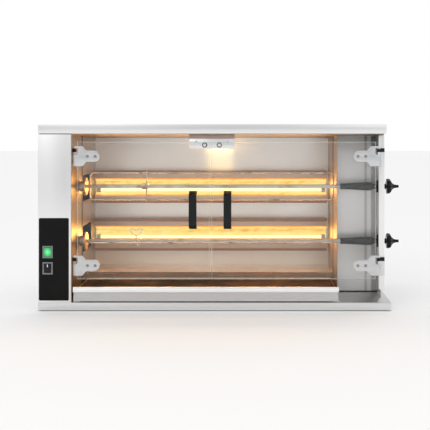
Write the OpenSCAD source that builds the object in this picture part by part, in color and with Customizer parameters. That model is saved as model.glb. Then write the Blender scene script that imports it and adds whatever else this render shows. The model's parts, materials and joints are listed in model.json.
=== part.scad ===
// Rotisserie oven: two driven spits in front of two quartz heaters, in a stainless casing
// with a control cabinet on the left, two glass doors and a spit bay on the right.
// Frame: +X to the right, +Y to the back, +Z up; origin in the middle of the footprint.

/* [Casing] */
// Length of the base
base_w = 1000; // [900:1:1200]
// Depth of the base, front to back
base_d = 420; // [400:1:520]
// Height of the base's fascia
base_h = 22; // [16:1:30]
// Height of the casing, base and roof included
case_h = 527; // [480:1:640]
// Height of the roof's fascia
roof_h = 26.6; // [20:0.1:34]
// How much shorter the roof is than the base, at its right end
roof_short = 13.5; // [6:0.5:15]
// Thickness of the sheet steel
sheet = 1.2; // [0.8:0.1:1.5]
// Width of the control cabinet, up to the cavity
cabinet_w = 93.4; // [90:0.1:130]
// Depth of the cavity, front to back
cavity_d = 377; // [370:1:380]
// How far the ceiling slopes down towards the back
liner_drop = 18; // [4:1:30]
// Width of the bay for the spit handles
bay_w = 124; // [122:1:140]
// Depth of that bay
bay_d = 160; // [145:1:220]
// How far the base passes the right wall
base_lip = 16; // [4:1:30]
// Thickness of the right wall
side_t = 3; // [2:0.1:4]
// How far the feet stand proud of the base
foot_h = 2; // [1:0.5:10]

/* [Control panel] */
// Width of the panel
panel_w = 85; // [60:1:88]
// Height of the panel
panel_h = 233.5; // [180:0.5:300]
// Width of each rocker switch
switch_w = 28.6; // [20:0.1:34]
// Height of each rocker switch
switch_h = 34.6; // [25:0.1:40]
// Height of the lower switch above the base's underside
switch_z = 119.7; // [100:0.1:150]
// Distance between the two switches
switch_pitch = 45.9; // [42:0.1:60]

/* [Doors] */
// Thickness of the glass
glass_t = 6; // [4:0.5:6]
// How far the glass is set back from the front
door_back = 12; // [11:0.5:13]
// Height of the glass's lower edge
door_low = 86; // [80:1:100]
// Height of the glass's upper edge
door_high = 477; // [440:1:480]
// Place of the gap between the doors, from the base's left end
door_split = 487.5; // [480:0.5:600]
// Width of the gap between the doors
door_gap = 4; // [2:0.5:8]
// Height of the upper hinges
hinge_high_z = 436; // [400:1:440]
// Height of the lower hinges
hinge_low_z = 125; // [120:1:150]
// Distance from each door handle to the gap
handle_off = 49; // [30:1:80]
// Length of the door handles
handle_len = 109; // [80:1:140]
// Width of the door handles
handle_w = 22; // [16:1:26]
// How far the door handles stand out from the glass
handle_proud = 30; // [24:1:40]

/* [Spits] */
// Height of the lower spit
spit_z = 180.6; // [175:0.1:190]
// Distance between the two spits
spit_pitch = 162.1; // [150:0.1:180]
// Distance of the spits from the front
spit_d = 117; // [112:1:130]
// Side of the square spit bar
bar = 10; // [8:0.5:12]
// Diameter of the spit frame's wire
wire = 5; // [4:0.5:6]
// Half height of the spit frame
frame_half = 40; // [34:1:46]
// Diameter of the spit handle's thick end
grip_dia = 24.3; // [20:0.1:28]
// Diameter of the drive shafts
shaft_dia = 12; // [10:0.5:14]
// Diameter of the coupling discs
disc_dia = 54; // [46:1:60]
// Diameter of the pull knobs
knob_dia = 45.5; // [38:0.5:52]
// Diameter of the support pins
pin_dia = 8; // [6:0.5:9]
// Travel of the support pins
pin_travel = 8; // [7:0.5:9]
// Radial clearance of shafts and pins in their bores
fit = 0.06; // [0.03:0.01:0.1]

/* [Heaters] */
// Height of the lower reflector's middle
heater_z = 170; // [165:1:180]
// Distance between the two reflectors
heater_pitch = 154; // [140:1:165]
// Height of each reflector's housing
reflector_h = 102; // [90:1:110]
// Height of each reflector's open trough
trough_h = 58; // [48:1:70]
// Diameter of the heater tubes
tube_dia = 10; // [8:0.5:12]

/* [Drip tray] */
// Height of the tray's rim above the base's underside
tray_rim = 66; // [60:1:68]
// Depth of the tray, front to back
tray_d = 228; // [180:1:230]
// How far the tray pulls out
tray_travel = 180; // [100:1:200]
// Side of the grate's bars
grate_bar = 4; // [3:0.5:5]

/* [Hidden] */

$fn = 48;
eps = 0.01;            // overshoot of a cutting solid
gap = 0.5;             // clearance between pieces that move past each other

// Overall size: the knobs set the right end, the door handles the front.
knob_reach = 57;       // from the right wall to the knob's tip
gland_len = 14;        // of the cable gland, behind the casing
overall_w = base_w - base_lip + knob_reach;
front_reach = handle_proud - door_back;
overall_d = front_reach + base_d + gland_len;

// Places along X
x_base = -overall_w / 2;
x_cab = x_base + cabinet_w;                 // cabinet's right edge
x_cav = x_cab + sheet;                      // cavity's left face
x_wall = x_base + base_w - base_lip;        // right wall's outer face
x_wall_in = x_wall - side_t;
x_bay = x_wall_in - bay_w;                  // bay's left face
x_cav_r = x_bay - sheet;                    // cavity's right face
x_split = x_base + door_split;

// Places along Y
y_front = -overall_d / 2 + front_reach;
y_back = y_front + base_d;
y_glass = y_front + door_back;
y_glass_b = y_glass + glass_t;
y_cav = y_front + cavity_d;
y_spit = y_front + spit_d;
y_bay = y_front + bay_d;
y_setback = y_front + 93;                   // front edge of the cavity's right wall
y_flange = y_glass_b + 4;                   // front of the right wall's flange

// Heights
z_base = foot_h;
z_deck = z_base + base_h;
z_top = z_base + case_h;
z_roof = z_top - roof_h;                    // lower edge of the roof's fascia
z_low_spit = z_base + spit_z;
z_high_spit = z_low_spit + spit_pitch;
spit_heights = [z_low_spit, z_high_spit];
heater_heights = [z_base + heater_z, z_base + heater_z + heater_pitch];
z_rim = z_base + tray_rim;
z_ledge = z_rim + 3;                        // top of the rear ledge

// Height of the sloping ceiling's underside at a distance along Y
function liner_z(y) = z_roof - sheet - liner_drop * (y - y_front) / cavity_d;

// Hinges
pivot_r = 4;                                // barrel's outer radius
hinge_pin = 4;                              // diameter of the hinge pin
hinge_off = 7.2;                            // from the cavity's wall to the left pivots
x_pivot_l = x_cav + hinge_off;
x_pivot_r = x_wall_in - 16;
y_pivot = y_glass + glass_t / 2;
plate_t = 2;                                // front clamp plate's thickness
backer_t = 2;                               // rear clamp plate's thickness
leaf_h = 57;                                // clamp plate's height at the pivot
nose_h = 32;                                // clamp plate's height at its nose
leaf_w = 30;                                // width of the tall part
plate_w = 70;                               // from the pivot to the nose
barrel_h = 30;                              // of the clamp plate's barrel
screw_x = [36, 58];                         // clamp screws, from the pivot
hinge_heights = [z_base + hinge_low_z, z_base + hinge_high_z];
clamp_dia = 5;
handle_z = z_base + 283;                    // middle of the door handles
handle_pitch = 92;                          // between a handle's two screws

// Spits
x_wall_bush = x_cav + 2;                    // cavity end of the bearing bushes
drum_l = 13;
disc_t = 5.7;
x_drum = x_wall_bush + gap;
x_disc = x_drum + drum_l;
x_disc_r = x_disc + disc_t;
frame_l_gap = 10;                           // from the disc to the wire frame
x_frame_l = x_disc_r + frame_l_gap;
x_frame_r = x_cav_r - 9;
grip_l = 99;
guide_l = 13;                               // of the guide inside the right wall
guide_dia = 15;
x_guide = x_wall_in - guide_l;
x_grip_r = x_guide - 1;
x_grip_l = x_grip_r - grip_l;
pin_grip = 6.5;                             // how deep the support pin enters the spit's handle
spring_house_l = 19;
collar_dia = 11;
fork_places = [x_base + 258, x_base + 280];

// Drive
sprocket_teeth = 12;
chain_pitch = 12.7;
sprocket_r = chain_pitch / (2 * sin(180 / sprocket_teeth));
x_sprocket = x_cab - 26;
x_motor_face = x_cab - 36;

// Tray
tray_wall = 1.5;
x_tray_l = x_cav + 6;
x_tray_r = x_cav_r - 6;
z_tray = z_deck + 3;                        // underside of the tray
z_grate = z_tray + 25;                      // top of the grate

// A box between two corners
module slab(x0, x1, y0, y1, z0, z1) {
    translate([x0, y0, z0]) cube([x1 - x0, y1 - y0, z1 - z0]);
}
// A round bar along X, Y or Z from a starting point
module rod_x(x, y, z, length, dia) {
    translate([x, y, z]) rotate([0, 90, 0]) cylinder(h = length, d = dia);
}
module rod_y(x, y, z, length, dia) {
    translate([x, y, z]) rotate([-90, 0, 0]) cylinder(h = length, d = dia);
}
module rod_z(x, y, z, length, dia) {
    translate([x, y, z]) cylinder(h = length, d = dia);
}
// An outline in the YZ plane, drawn out along X
module along_x(x0, x1, points) {
    translate([x0, 0, 0]) rotate([90, 0, 90]) linear_extrude(height = x1 - x0) polygon(points);
}

// ---- Casing ----

switch_places = [z_base + switch_z, z_base + switch_z + switch_pitch];
x_switch = x_base + 28;
panel_low = z_base + 28;
panel_t = 1.5;
switch_rim = 2;                             // how far a switch's rim covers the panel
housing_t = 1.9;                            // wall of the switch housings
rocker_r = switch_h / 2 - 4.2;
rocker_w = switch_w - 8.6;
trunnion = 3;
y_rocker = y_front - panel_t - 0.6;
catch_x = x_split + 4;
catch_z = z_base + 467.5;
x_lamp = x_split + 12.5;
y_lamp = y_cav - 42;
lamp_dia = 60;
bush_dia = 20;
slot_r = bar * 0.75 + 1;                    // lets the square bar turn
window_y = [165, 302];                      // openings for the heaters' wiring, from the front
window_z = [-31, 48];                       // the same, from the reflector's middle
x_refl_l = x_cav + 5;
x_refl_r = x_cav_r - 8;
refl_d = 41;
trough_d = 30;
tube_drop = 9;
tube_y = y_cav - refl_d + 17;
y_ledge = y_front + tray_d + 2;

// The switches' cut-outs, through the panel and the sheet behind it
module switch_holes() {
    for (z = switch_places)
        slab(x_switch - switch_w / 2 + switch_rim, x_switch + switch_w / 2 - switch_rim,
            y_front - 10, y_front + 10, z - switch_h / 2 + switch_rim, z + switch_h / 2 - switch_rim);
}

module base_plate() {
    color("#c9cbcb") difference() {
        slab(x_base, x_base + base_w, y_front, y_back, z_base, z_deck);
        slab(x_base + sheet, x_base + base_w - sheet, y_front + sheet, y_back - sheet,
            z_base - eps, z_deck - sheet);
    }
}

module feet() {
    inset = 45;
    color("#222222")
    for (x = [x_base + inset, x_base + base_w - inset], y = [y_front + inset, y_back - inset])
        rod_z(x, y, 0, z_deck - sheet, 30);
}

module roof_panel() {
    x_end = x_base + base_w - roof_short;
    color("#dcdedf") difference() {
        slab(x_base, x_end, y_front, y_back, z_roof, z_top);
        slab(x_base + sheet, x_end - sheet, y_front + sheet, y_back - sheet,
            z_roof - eps, z_top - sheet);
    }
}

module roof_liner() {
    y0 = y_front + sheet;
    color("#9b948d") difference() {
        along_x(x_cav, x_wall_in, [[y0, liner_z(y0)], [y_cav, liner_z(y_cav)],
            [y_cav, liner_z(y_cav) + sheet], [y0, liner_z(y0) + sheet]]);
        rod_z(x_lamp, y_lamp, z_roof - 60, 80, lamp_dia + 1);
    }
}

module cabinet_front() {
    color("#eceeee") difference() {
        slab(x_base, x_cab, y_front, y_front + sheet, z_deck, z_roof - 2);
        switch_holes();
    }
}

module cabinet_side() {
    color("#d5d7d8")
    slab(x_base + sheet, x_base + 2 * sheet, y_front + sheet, y_back - 2 * sheet,
        z_deck, z_top - sheet);
}

module control_panel() {
    r = 4;
    x0 = x_base + 2.5;
    color("#1b1b1b") difference() {
        union() {
            slab(x0 + r, x0 + panel_w - r, y_front - panel_t, y_front, panel_low, panel_low + panel_h);
            slab(x0, x0 + panel_w, y_front - panel_t, y_front,
                panel_low + r, panel_low + panel_h - r);
            for (x = [x0 + r, x0 + panel_w - r], z = [panel_low + r, panel_low + panel_h - r])
                rod_y(x, y_front - panel_t, z, panel_t, 2 * r);
        }
        switch_holes();
    }
}

module switch_housings() {
    w = switch_w / 2 - switch_rim - 0.1;
    h = switch_h / 2 - switch_rim - 0.1;
    color("#8a8d8f")
    for (z = switch_places) difference() {
        union() {
            slab(x_switch - switch_w / 2, x_switch + switch_w / 2, y_front - panel_t - 2,
                y_front - panel_t, z - switch_h / 2, z + switch_h / 2);
            slab(x_switch - w, x_switch + w, y_front - panel_t - eps, y_front + 20, z - h, z + h);
        }
        slab(x_switch - rocker_w / 2 - 0.4, x_switch + rocker_w / 2 + 0.4,
            y_front - 10, y_front + 15, z - rocker_r - 0.4, z + rocker_r + 0.4);
        rod_x(x_switch - w - 1, y_rocker, z, 2 * w + 2, trunnion + 2 * fit);
    }
}

module rear_panel() {
    color("#cfd1d2") difference() {
        slab(x_base + 2 * sheet, x_wall_in, y_back - 2 * sheet, y_back - sheet, z_deck, z_top - sheet);
        for (i = [0:7])
            slab(x_base + 18, x_base + 72, y_back - 10, y_back + 1,
                z_deck + 240 + 12 * i, z_deck + 244 + 12 * i);
        rod_y(x_base + 45, y_back - 10, z_deck + 50, 20, 16.4);
    }
}

module cavity_back() {
    color("#c8c6c0") slab(x_cav, x_cav_r, y_cav, y_cav + sheet, z_deck, liner_z(y_cav));
}

module cavity_left_wall() {
    y0 = y_front + sheet;
    y1 = y_cav + sheet;
    color("#b9b2a8") difference() {
        along_x(x_cab, x_cav, [[y0, z_deck], [y1, z_deck], [y1, liner_z(y1)], [y0, liner_z(y0)]]);
        for (z = spit_heights) rod_x(x_cab - 5, y_spit, z, 20, bush_dia + 0.1);
        for (z = heater_heights)
            slab(x_cab - 5, x_cav + 5, y_front + window_y[0], y_front + window_y[1],
                z + window_z[0], z + window_z[1]);
    }
}

module cavity_right_wall() {
    y1 = y_cav + sheet;
    color("#c3beb6") difference() {
        along_x(x_cav_r, x_bay, [[y_setback, z_deck], [y1, z_deck], [y1, liner_z(y1)],
            [y_setback, liner_z(y_setback)]]);
        for (z = spit_heights) {
            slab(x_cav_r - 5, x_bay + 5, y_setback - 5, y_spit, z - slot_r, z + slot_r);
            rod_x(x_cav_r - 5, y_spit, z, 20, 2 * slot_r);
        }
    }
}

module bay_back_panel() {
    color("#c4c6c7")
    slab(x_bay, x_wall_in, y_bay, y_bay + sheet, z_deck + 3, liner_z(y_bay + sheet));
}

module right_side_wall() {
    undercut_h = 33;
    undercut_d = 60;
    flange_w = 14;
    color("#d8dadb") difference() {
        union() {
            slab(x_wall_in, x_wall, y_flange, y_back - 2 * sheet, z_deck, z_top - sheet);
            slab(x_wall_in - flange_w, x_wall, y_flange, y_flange + sheet,
                z_deck + undercut_h, z_roof - 5);
        }
        slab(x_wall_in - 50, x_wall + 5, y_flange - 5, y_flange + undercut_d,
            z_deck - 5, z_deck + undercut_h);
        for (z = spit_heights) rod_x(x_wall_in - 5, y_spit, z, 20, guide_dia + 0.1);
    }
}

module rear_ledge() {
    color("#b98f5e") {
        slab(x_cav, x_cav_r, y_ledge, y_cav, z_ledge - sheet, z_ledge);
        slab(x_cav, x_cav_r, y_ledge, y_ledge + sheet, z_deck, z_ledge - sheet);
    }
}

module tray_runners() {
    color("#a7a9aa")
    for (side = [0, 1]) translate([side * (x_tray_l + x_tray_r), 0, 0]) mirror([side, 0, 0]) {
        slab(x_tray_l - 3, x_tray_l + 15, y_front + 12, y_ledge - 5, z_deck, z_tray - 0.4);
        slab(x_tray_l - 3, x_tray_l - 3 + sheet, y_front + 12, y_ledge - 5, z_tray - 0.4, z_tray + 16);
    }
}

module catch_bracket() {
    half = 65;
    r = 5;
    y0 = y_glass_b + 4;
    z0 = z_base + 457;
    z1 = z_base + 483;
    z2 = liner_z(y0 + 12);
    color("#d6d7d6") intersection() {
        along_x(catch_x - half, catch_x + half, [[y0, z0], [y0 + sheet, z0], [y0 + sheet, z1],
            [y0 + 8 + sheet, z2], [y0 + 8, z2], [y0, z1]]);
        union() {
            slab(catch_x - half, catch_x + half, y0 - 5, y0 + 30, z0 + r, z2);
            slab(catch_x - half + r, catch_x + half - r, y0 - 5, y0 + 30, z0, z0 + 2 * r);
            for (x = [catch_x - half + r, catch_x + half - r])
                rod_y(x, y0 - 5, z0 + r, 35, 2 * r);
        }
    }
}

module catch_magnets() {
    color("#8f9295")
    for (x = [catch_x - 21, catch_x + 21]) rod_y(x, y_glass_b + 0.4, catch_z, 3.6, 15);
}

module lamp_holder() {
    z0 = liner_z(y_lamp) - 8;
    color("#b8babb") difference() {
        rod_z(x_lamp, y_lamp, z0, z_top - sheet - z0, lamp_dia);
        rod_z(x_lamp, y_lamp, z0 - eps, 30, lamp_dia - 8);
    }
}

module lamp_glass() {
    z0 = liner_z(y_lamp) - 8;
    r = lamp_dia / 2 - 4;
    color("#fff3b0") difference() {
        translate([x_lamp, y_lamp, z0 + 2]) sphere(r = r);
        slab(x_lamp - 40, x_lamp + 40, y_lamp - 40, y_lamp + 40, z0 + 2, z0 + 60);
    }
}

// ---- Heaters ----

module reflectors() {
    h = reflector_h / 2;
    t = trough_h / 2;
    y0 = y_cav - refl_d;
    s = sheet;
    color("#f5c24a")
    for (z = heater_heights) translate([0, y0, z]) difference() {
        along_x(x_refl_l, x_refl_r, [[0, h], [refl_d, h], [refl_d, -h], [0, -h], [0, -t],
            [trough_d, 12 - t], [trough_d, t - 12], [0, t]]);
        along_x(x_refl_l - 1, x_refl_r + 1, [[s, h - s], [refl_d + 1, h - s],
            [refl_d + 1, s - h], [s, s - h], [s, -t - s / 2],
            [trough_d + s, 12 - t - s], [trough_d + s, t - 12 + s], [s, t + s / 2]]);
    }
}

module heater_tubes() {
    color("#ffffc8")
    for (z = heater_heights)
        rod_x(x_refl_l + 8, tube_y, z - tube_drop, x_refl_r - x_refl_l - 16, tube_dia);
}

module tube_holders() {
    half = 8;
    color("#e9e2d4")
    for (z = heater_heights, x = [x_refl_l + 5, x_refl_r - 17]) difference() {
        slab(x, x + 12, tube_y - half, y_cav - refl_d + trough_d, z - tube_drop - half,
            z - tube_drop + half);
        rod_x(x - 1, tube_y, z - tube_drop, 20, tube_dia + 0.1);
    }
}

module cable_gland() {
    x = x_base + 45;
    z = z_deck + 50;
    color("#2a2a2a") difference() {
        union() {
            rod_y(x, y_back - 10, z, 12, 16);
            rod_y(x, y_back - sheet, z, gland_len + sheet - 5, 26);
            rod_y(x, y_back + gland_len - 5, z, 5, 20);
        }
        rod_y(x, y_back - 12, z, gland_len + 20, 9);
    }
}

// ---- Drive ----

module gear_motor() {
    z = z_low_spit;
    color("#6e7275") difference() {
        union() {
            slab(x_motor_face - 40, x_motor_face, y_spit - 45, y_spit + 50, z - 32, z + 32);
            rod_y(x_motor_face - 27, y_spit + 50, z, 100, 50);
            rod_y(x_motor_face - 27, y_spit + 150, z, 12, 40);
            for (y = [y_spit - 39, y_spit + 42], dz = [-27, 27])
                rod_x(x_motor_face - 40, y, z + dz, x_cab - x_motor_face + 40, 9);
        }
        rod_x(x_motor_face - 22, y_spit, z, 30, shaft_dia + 2 * fit);
    }
}

// One sprocket, centred on the X axis
module sprocket(x, z) {
    n = sprocket_teeth;
    tip = sprocket_r + 2;
    root = sprocket_r - 3;
    step = 360 / n;
    outline = [for (i = [0:n - 1], k = [[root, -0.3], [tip, -0.1], [tip, 0.1], [root, 0.3]])
        [k[0] * cos(step * (i + k[1])), k[0] * sin(step * (i + k[1]))]];
    translate([x, y_spit, z]) rotate([90, 0, 90]) difference() {
        union() {
            translate([0, 0, -2.5]) linear_extrude(height = 5) polygon(outline);
            translate([0, 0, -5]) cylinder(h = 10, d = shaft_dia + 10);
        }
        translate([0, 0, -6]) cylinder(h = 12, d = shaft_dia);
    }
}

// A closed band around the two sprockets
module chain_band(r, half) {
    slab(x_sprocket - half, x_sprocket + half, y_spit - r, y_spit + r, z_low_spit, z_high_spit);
    for (z = spit_heights) rod_x(x_sprocket - half, y_spit, z, 2 * half, 2 * r);
}

module drive_chain() {
    inner = sprocket_r + 2.6;
    color("#55585a") difference() {
        chain_band(inner + 6, 2.2);
        chain_band(inner, 4);
    }
}

module shaft_bearings() {
    color("#b58a3c")
    for (z = spit_heights) difference() {
        union() {
            rod_x(x_cab - 5, y_spit, z, 5, 36);
            rod_x(x_cab - 2, y_spit, z, x_wall_bush - x_cab + 2, bush_dia);
        }
        rod_x(x_cab - 10, y_spit, z, 40, shaft_dia + 2 * fit);
    }
}

// A drive shaft with the drum and drilled disc that take the spit's end
module coupling(z, x_start) {
    difference() {
        union() {
            rod_x(x_start, y_spit, z, x_disc - x_start, shaft_dia);
            rod_x(x_drum, y_spit, z, drum_l, 32);
            rod_x(x_disc, y_spit, z, disc_t, disc_dia);
        }
        slab(x_disc - 6, x_disc_r + 5, y_spit - bar / 2 - 0.05, y_spit + bar / 2 + 0.05,
            z - bar / 2 - 0.05, z + bar / 2 + 0.05);
        for (i = [0:7])
            translate([x_disc - 1, y_spit + disc_dia * 0.37 * cos(45 * i + 22.5),
                z + disc_dia * 0.37 * sin(45 * i + 22.5)])
                rotate([0, 90, 0]) cylinder(h = disc_t + 2, d = 5);
    }
}

// ---- Spits ----

module spit_bar(z) {
    slab(x_disc - 6, x_grip_l + 40, y_spit - bar / 2, y_spit + bar / 2, z - bar / 2, z + bar / 2);
}

// A wire frame around the bar, in the XZ plane or turned by an angle about the bar
module wire_frame(z, angle) {
    translate([0, y_spit, z]) rotate([angle, 0, 0])
    for (side = [-1, 1]) {
        rod_x(x_frame_l, 0, side * frame_half, x_frame_r - x_frame_l, wire);
        for (x = [x_frame_l, x_frame_r]) {
            translate([x, 0, side * frame_half]) sphere(d = wire);
            rod_z(x, 0, side > 0 ? bar / 2 : -frame_half, frame_half - bar / 2, wire);
        }
    }
}

module spit_handle(z) {
    r = grip_dia / 2;
    neck = r * 0.72;
    color("#484848") translate([x_grip_l, y_spit, z]) rotate([0, 90, 0]) difference() {
        rotate_extrude() polygon([[0, 0], [neck, 0], [neck, 8], [r * 0.8, grip_l * 0.35],
            [r * 0.95, grip_l * 0.65], [r, grip_l * 0.86], [r * 0.9, grip_l * 0.96],
            [r * 0.62, grip_l], [0, grip_l]]);
        translate([0, 0, 19.9]) cube([bar + 0.1, bar + 0.1, 40.2], center = true);
        translate([0, 0, grip_l - pin_grip - 0.5]) cylinder(h = 10, d = pin_dia + 2 * fit);
    }
}

// A food holder that slides along the bar: a square collar, a cross wire that passes over both
// rails of the frame and carries two prongs, and a wing screw
module fork(z, x, angle) {
    d = 3.5;
    hub = bar + 6;
    across = hub / 2 - d / 2;
    reach = frame_half + 6;
    wing = [[1.5, 0], [1.5, 5.5], [19, 19], [21, 24], [17, 29], [10, 30], [0, 26.5],
        [-10, 30], [-17, 29], [-21, 24], [-19, 19], [-1.5, 5.5], [-1.5, 0]];
    eye = [[0, 8], [16, 20.5], [17.5, 23.5], [15, 26], [10, 26.9], [0, 23],
        [-10, 26.9], [-15, 26], [-17.5, 23.5], [-16, 20.5]];
    color("#b9b6ae") translate([x, y_spit, z]) rotate([angle, 0, 0]) {
        difference() {
            translate([0, -hub / 2, -hub / 2]) cube([18, hub, hub]);
            translate([-1, -bar / 2 - 0.15, -bar / 2 - 0.15]) cube([20, bar + 0.3, bar + 0.3]);
        }
        for (side = [-1, 1]) {
            rod_z(14, -across, side > 0 ? hub / 2 - 1 : -reach, reach - hub / 2 + 1, d);
            translate([14, -across, side * 26]) rotate([0, 90, 0]) cylinder(h = 16, d1 = d, d2 = 1, $fn = 24);
        }
        translate([5, hub / 2 - 0.5, -1.5]) linear_extrude(height = 3) difference() {
            polygon(wing);
            polygon(eye);
        }
    }
}

module pin_guides() {
    color("#1d1d1d")
    for (z = spit_heights) difference() {
        union() {
            rod_x(x_guide, y_spit, z, x_wall + spring_house_l - x_guide, guide_dia);
            rod_x(x_wall_in - 6, y_spit, z, 6, 36);
        }
        rod_x(x_guide - 1, y_spit, z, 80, pin_dia + 2 * fit);
        rod_x(x_wall_in, y_spit, z, side_t + spring_house_l - 2, collar_dia + 0.6);
    }
}

module support_pin(z) {
    color("#c4c6c8") {
        rod_x(x_grip_r - pin_grip, y_spit, z, x_wall + knob_reach - 15 - x_grip_r + pin_grip, pin_dia);
        rod_x(x_wall_in + 0.5, y_spit, z, 2, collar_dia);
    }
}

module pull_knob(z) {
    r = knob_dia / 2;
    length = knob_reach - spring_house_l - 1;
    color("#141414") translate([x_wall + spring_house_l + 1, y_spit, z]) rotate([0, 90, 0])
    difference() {
        rotate_extrude() polygon([[0, 0], [r - 9, 0], [r - 1, 1.5], [r, 4], [r, 9], [r - 3, 12],
            [r * 0.5, 15], [r * 0.3, 20], [r * 0.22, 26], [4.5, 31], [4.5, length - 1],
            [3.5, length], [0, length]]);
        translate([0, 0, -1]) cylinder(h = length - 13, d = pin_dia);
    }
}

// A helical spring along X, swept as one closed tube
module coil(x, z, length, radius, thick, turns) {
    sides = 6;
    rings = turns * 12;
    points = [for (i = [0:rings], k = [0:sides - 1])
        let (a = 30 * i, r = radius + thick / 2 * cos(60 * k))
        [thick / 2 + (length - thick) * i / rings + thick / 2 * sin(60 * k), r * cos(a), r * sin(a)]];
    walls = [for (i = [0:rings - 1], k = [0:sides - 1])
        let (n = (k + 1) % sides)
        [i * sides + k, i * sides + n, (i + 1) * sides + n, (i + 1) * sides + k]];
    ends = [[for (k = [sides - 1:-1:0]) k], [for (k = [0:sides - 1]) rings * sides + k]];
    translate([x, y_spit, z]) polyhedron(points, concat(walls, ends));
}

module pin_spring(z) {
    x0 = x_wall_in + 3;
    color("#a5a8aa") coil(x0, z, x_wall + spring_house_l - 2.5 - x0, pin_dia / 2 + 1, 0.9, 7);
}

// ---- Switches ----

// A rocker with a shallow V face, tipped so that its lower half lies flush
module rocker(z) {
    rest_angle = 9;
    rim = 0.3;
    translate([x_switch, y_rocker, z]) {
        intersection() {
            rotate([rest_angle, 0, 0]) along_x(-rocker_w / 2, rocker_w / 2,
                [[-4, 20], [-1.6, 0], [-4, -20], [7, -20], [7, 20]]);
            rod_x(-rocker_w / 2, 0, 0, rocker_w, 2 * (rocker_r - rim));
        }
        rod_x(-rocker_w / 2 - 1.8, 0, 0, rocker_w + 3.6, trunnion);
    }
}

// ---- Doors: the left one as drawn, the right one mirrored ----

x_glass_l = x_pivot_l + 6.4;
x_glass_r = x_pivot_r - 6.4;
barrel_low = -15;                           // barrel's ends, from the hinge's middle
barrel_top = 3;
ear_r = 2.7;
leaf_t = 2;
y_leaf = y_pivot + glass_t / 2 + 4;

// Clamp plate's outline, from the pivot towards the door's middle
module clamp_outline() {
    edge = -4.6;
    polygon([[edge, -leaf_h / 2], [22, -leaf_h / 2], [32, -nose_h / 2],
        [plate_w - nose_h / 2, -nose_h / 2], [plate_w - nose_h / 2, nose_h / 2],
        [32, nose_h / 2], [22, leaf_h / 2], [edge + 3, leaf_h / 2], [edge + 3, 23],
        [9, 23], [9, 9], [5, 4], [edge, 4]]);
    translate([plate_w - nose_h / 2, 0]) circle(d = nose_h);
}

// Both clamp plates and the knuckle of one hinge
module clamp_pair() {
    y_face = -glass_t / 2;
    difference() {
        union() {
            translate([0, y_face, 0]) rotate([90, 0, 0]) linear_extrude(height = plate_t)
                clamp_outline();
            translate([0, y_face + glass_t + backer_t, 0]) rotate([90, 0, 0])
                linear_extrude(height = backer_t) {
                translate([8, -nose_h / 2]) square([plate_w - 8 - nose_h / 2, nose_h]);
                translate([plate_w - nose_h / 2, 0]) circle(d = nose_h);
            }
            rod_z(0, 0, barrel_low, barrel_top - barrel_low, 2 * pivot_r);
        }
        rod_z(0, 0, -60, 120, hinge_pin + 2 * fit);
        for (x = screw_x) rod_y(x, -20, 0, 40, clamp_dia + 0.2);
    }
}

module door_glass(x0, x1, x_pivot, out, x_handle) {
    difference() {
        slab(x0, x1, y_glass, y_glass_b, z_base + door_low, z_base + door_high);
        for (z = hinge_heights, x = screw_x) rod_y(x_pivot + out * x, y_glass - 5, z, 20, clamp_dia + 4);
        for (dz = [-1, 1])
            rod_y(x_handle, y_glass - 5, handle_z + dz * handle_pitch / 2, 20, clamp_dia + 4);
    }
}

module door_plates(x_pivot, out) {
    color("#c9cacb")
    for (z = hinge_heights) translate([x_pivot, y_pivot, z]) mirror([out < 0 ? 1 : 0, 0, 0])
        clamp_pair();
}

// A bow of flat strap that stands off the glass
module door_handle(x) {
    half = handle_len / 2;
    strap = 7;
    y0 = y_glass;
    color("#16181a") translate([0, 0, handle_z]) difference() {
        along_x(x - handle_w / 2, x + handle_w / 2, [[y0, -half], [y0, strap - half],
            [y0 - handle_proud + strap, 16 - half], [y0 - handle_proud + strap, half - 16],
            [y0, half - strap], [y0, half], [y0 - handle_proud + 3, half - 9],
            [y0 - handle_proud, half - 12], [y0 - handle_proud, 12 - half],
            [y0 - handle_proud + 3, 9 - half]]);
        for (dz = [-1, 1]) rod_y(x, y0 - 6, dz * handle_pitch / 2, 10, clamp_dia + 0.2);
    }
}

// Clamp screws and the screws that hold the handle, of one door
module door_screws(x_pivot, out, x_handle) {
    color("#a9acae") {
        for (z = hinge_heights, x = screw_x) {
            rod_y(x_pivot + out * x, y_glass - plate_t - 2.2, z, 2.2, 9);
            rod_y(x_pivot + out * x, y_glass - plate_t, z, plate_t + glass_t + backer_t, clamp_dia);
        }
        for (dz = [-1, 1]) {
            rod_y(x_handle, y_glass - 4, handle_z + dz * handle_pitch / 2, glass_t + 4, clamp_dia);
            rod_y(x_handle, y_glass_b, handle_z + dz * handle_pitch / 2, 2.5, 12);
        }
    }
}

module left_glass() {
    color([0.85, 0.9, 0.9, 0.3])
    door_glass(x_glass_l, x_split - door_gap / 2, x_pivot_l, 1, x_split - handle_off);
}
module right_glass() {
    color([0.85, 0.9, 0.9, 0.3])
    door_glass(x_split + door_gap / 2, x_glass_r, x_pivot_r, -1, x_split + handle_off);
}

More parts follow.
